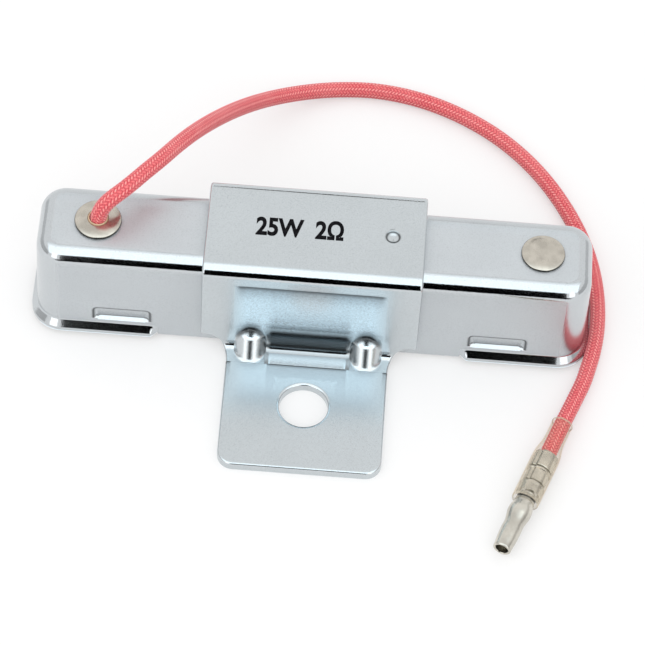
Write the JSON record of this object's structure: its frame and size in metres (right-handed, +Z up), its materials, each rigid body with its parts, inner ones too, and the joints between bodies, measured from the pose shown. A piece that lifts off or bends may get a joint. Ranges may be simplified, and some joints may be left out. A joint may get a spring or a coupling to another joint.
{
  "type": "voltage regulator resistor",
  "caption": "Drawn steel resistor housing under a folded strap bracket with a holed foot, and a braided lead ending in a sleeved bullet terminal",
  "frame": {"origin": "Centre of the mounting hole, on the mounting plane under the foot.", "axes": "+Z up through the mounting hole away from the surface it is bolted to, +X along the housing towards the ground rivet, +Y from the foot towards the housing."},
  "size_m": [0.1074, 0.1052, 0.0321],
  "materials": {
    "zinc_sheet": "bright zinc plate on drawn sheet",
    "zinc_strap": "bright bluish zinc plate on folded strap",
    "nickel_plate": "warm dull nickel plate",
    "tan_fibre": "tan insulating fibre",
    "ceramic": "unglazed ceramic",
    "nichrome": "oxidised resistance wire",
    "band_brass": "plain brass strip",
    "copper": "bare copper",
    "cement": "cast refractory cement",
    "braid": "faded red glass-fibre braid",
    "clear_sleeve": "clear yellowed sleeve",
    "tinned_brass": "tin plate on brass"
  },
  "bodies": {
    "root": {"housing": "zinc_sheet", "bracket": "zinc_strap", "lead_eyelet": "nickel_plate", "lead_bushing": "tan_fibre", "ground_rivet": "nickel_plate", "ceramic_core": "ceramic", "resistance_wire": "nichrome", "lead_band": "band_brass", "ground_band": "band_brass", "lead_conductor": "copper", "cement_fill": "cement", "lead_cord": "braid", "terminal_sleeve": "clear_sleeve", "terminal_bullet": "tinned_brass"}
  },
  "joints": []
}
